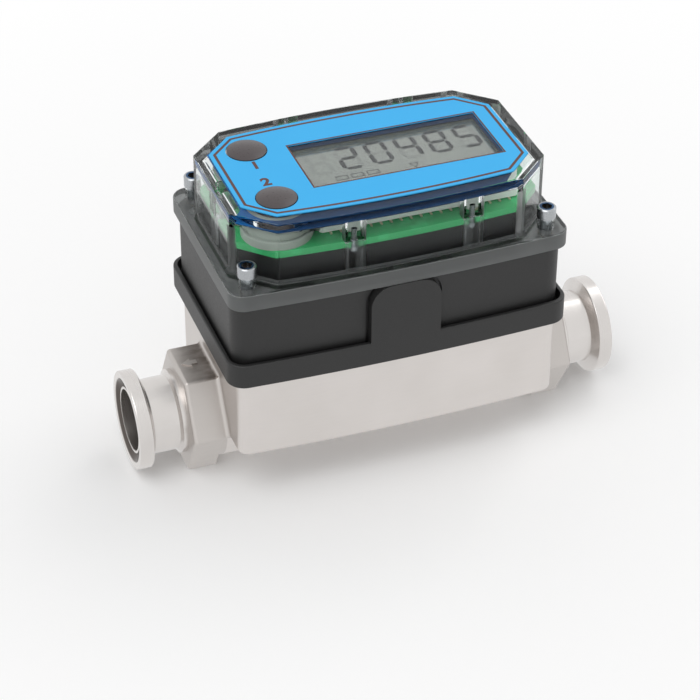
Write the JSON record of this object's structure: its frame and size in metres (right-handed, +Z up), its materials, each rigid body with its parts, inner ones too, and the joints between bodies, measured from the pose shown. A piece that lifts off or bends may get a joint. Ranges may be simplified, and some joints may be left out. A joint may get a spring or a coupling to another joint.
{
  "type": "turbine flow meter",
  "caption": "In-line turbine flow meter: steel body with sanitary clamp ferrules, black housing, clear cover, display and push buttons.",
  "frame": {"origin": "on the surface that the meter rests on, under the middle of the flow axis", "axes": "+X along the flow axis towards the inlet, the flow arrow points to -X; +Z up through the display"},
  "size_m": [0.1276, 0.0538, 0.079],
  "materials": {
    "cast_steel": "satin, as cast and machined",
    "turned_steel": "turned",
    "rotor_steel": "machined",
    "spring_steel": "smooth",
    "bearing_bush": "smooth",
    "black_housing": "moulded",
    "clear_plastic": "clear, polished",
    "seal_rubber": "moulded",
    "bright_steel": "plated screws",
    "insert_brass": "knurled",
    "board_green": "solder resist",
    "plate_blue": "printed film",
    "button_grey": "moulded",
    "keypad_grey": "moulded",
    "contact_gold": "plated",
    "pill_carbon": "printed",
    "carrier_white": "moulded",
    "display_panel": "panel",
    "bezel_black": "moulded",
    "chip_black": "moulded",
    "bobbin_plastic": "moulded",
    "winding_copper": "enamelled",
    "magnet_metal": "plated",
    "lead_metal": "tinned",
    "cell_metal": "plated"
  },
  "bodies": {
    "meter": {"meter_body": "cast_steel", "inlet_ferrule": "turned_steel", "outlet_ferrule": "turned_steel", "inlet_rotor_support": "turned_steel", "outlet_rotor_support": "turned_steel", "inlet_retaining_ring": "spring_steel", "outlet_retaining_ring": "spring_steel", "rotor_shaft": "bright_steel", "body_gasket": "seal_rubber", "adapter_housing": "black_housing", "base_screws": "bright_steel", "thread_inserts": "insert_brass", "cover_gasket": "seal_rubber", "clear_cover": "clear_plastic", "cover_screws": "bright_steel", "circuit_board": "board_green", "board_screws": "bright_steel", "faceplate": "plate_blue", "rate_keypad": "keypad_grey", "total_keypad": "keypad_grey", "board_contacts": "contact_gold", "display_carrier": "carrier_white", "display_glass": "display_panel", "display_bezel": "bezel_black", "display_pins": "contact_gold", "controller_chip": "chip_black", "coil_bobbin": "bobbin_plastic", "coil_winding": "winding_copper", "coil_magnet": "magnet_metal", "coil_leads": "lead_metal", "battery_holder": "bezel_black", "coin_cells": "cell_metal"},
    "turbine": {"rotor": "rotor_steel", "rotor_bushings": "bearing_bush"},
    "rate_key": {"rate_button": "button_grey", "rate_contact_pill": "pill_carbon"},
    "total_key": {"total_button": "button_grey", "total_contact_pill": "pill_carbon"}
  },
  "joints": [
    {"name": "rotor_spin", "type": "hinge", "parent": "meter", "child": "turbine", "pos_m": [0, 0, 0.0135], "axis": [1, 0, 0], "continuous": true},
    {"name": "rate_press", "type": "slide", "parent": "meter", "child": "rate_key", "axis": [0, 0, -1], "range_m": [0, 0.0008], "stiffness_N_per_m": 900, "springref_m": -0.0004},
    {"name": "total_press", "type": "slide", "parent": "meter", "child": "total_key", "axis": [0, 0, -1], "range_m": [0, 0.0008], "stiffness_N_per_m": 900, "springref_m": -0.0004}
  ]
}
